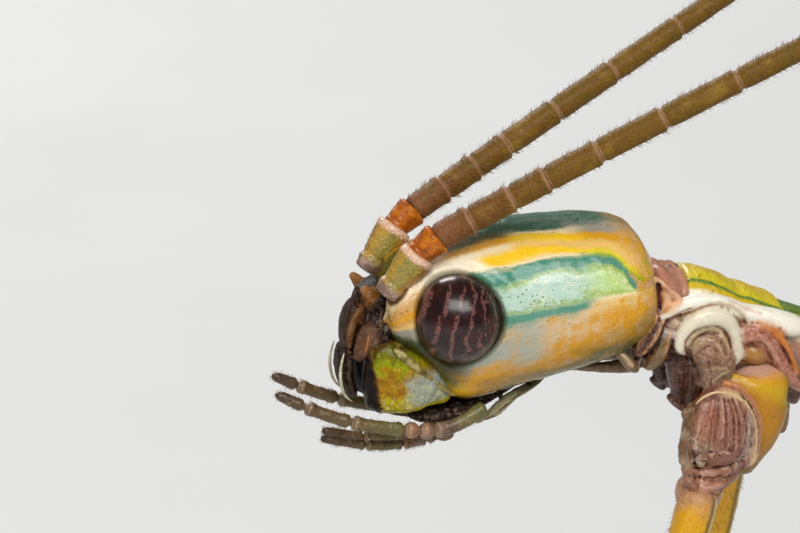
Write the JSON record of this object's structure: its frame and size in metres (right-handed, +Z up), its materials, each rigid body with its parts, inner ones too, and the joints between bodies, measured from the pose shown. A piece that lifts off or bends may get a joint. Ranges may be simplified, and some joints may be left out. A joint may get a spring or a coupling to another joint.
{
  "type": "stick insect model",
  "caption": "Life-size still model of a large winged female stick insect standing tall on its feet, head forward, long antennae swept back over the body.",
  "frame": {"origin": "on the floor under the middle of the model's outline", "axes": "+X towards the tail, +Y towards the insect's right side, +Z up; it faces -X"},
  "size_m": [0.1946, 0.0964, 0.103],
  "materials": {
    "head_shell": "glossy sealed shell, teal, yellow and cream bands",
    "eye": "polished, dark maroon with broken pinkish streaks",
    "mouth_horn": "glossy, dark brown",
    "mandible": "glossy, yellow-green with an orange patch",
    "palp": "satin, olive brown, short hairs",
    "feeler": "satin, yellow brown, short hairs",
    "membrane": "wrinkled, pinkish brown, moist",
    "trunk_shell": "glossy, green back, white side stripe, yellow below",
    "abdomen_shell": "satin, green with pale hind edges",
    "coxa": "glossy, yellow with pink membrane",
    "leg_shell": "satin gloss, yellow and pale green",
    "foot": "satin, olive brown, hairy, pale pads",
    "wing": "leathery, green with raised veins"
  },
  "bodies": {
    "root": {"abdomen_1": "abdomen_shell", "abdomen_2": "abdomen_shell", "abdomen_3": "abdomen_shell", "abdomen_4": "abdomen_shell", "antenna_flagellum_left": "feeler", "antenna_flagellum_right": "feeler", "antenna_pedicel_left": "feeler", "antenna_pedicel_right": "feeler", "antenna_scape_left": "feeler", "antenna_scape_right": "feeler", "cercus_left": "abdomen_shell", "cercus_right": "abdomen_shell", "clypeus": "mouth_horn", "eye_left": "eye", "eye_right": "eye", "front_left_coxa": "coxa", "front_left_femur": "leg_shell", "front_left_tarsus": "foot", "front_left_tibia": "leg_shell", "front_right_coxa": "coxa", "front_right_femur": "leg_shell", "front_right_tarsus": "foot", "front_right_tibia": "leg_shell", "head_capsule": "head_shell", "hind_left_coxa": "coxa", "hind_left_femur": "leg_shell", "hind_left_tarsus": "foot", "hind_left_tibia": "leg_shell", "hind_right_coxa": "coxa", "hind_right_femur": "leg_shell", "hind_right_tarsus": "foot", "hind_right_tibia": "leg_shell", "hind_wing_left": "wing", "hind_wing_right": "wing", "labial_palp_left": "palp", "labial_palp_right": "palp", "labium": "palp", "labrum": "mouth_horn", "mandible_left": "mandible", "mandible_right": "mandible", "maxillary_palp_left": "palp", "maxillary_palp_right": "palp", "mesothorax": "trunk_shell", "metathorax": "trunk_shell", "mid_left_coxa": "coxa", "mid_left_femur": "leg_shell", "mid_left_tarsus": "foot", "mid_left_tibia": "leg_shell", "mid_right_coxa": "coxa", "mid_right_femur": "leg_shell", "mid_right_tarsus": "foot", "mid_right_tibia": "leg_shell", "neck": "membrane", "operculum": "abdomen_shell", "prothorax": "trunk_shell", "tegmen_left": "wing", "tegmen_right": "wing"}
  },
  "joints": []
}
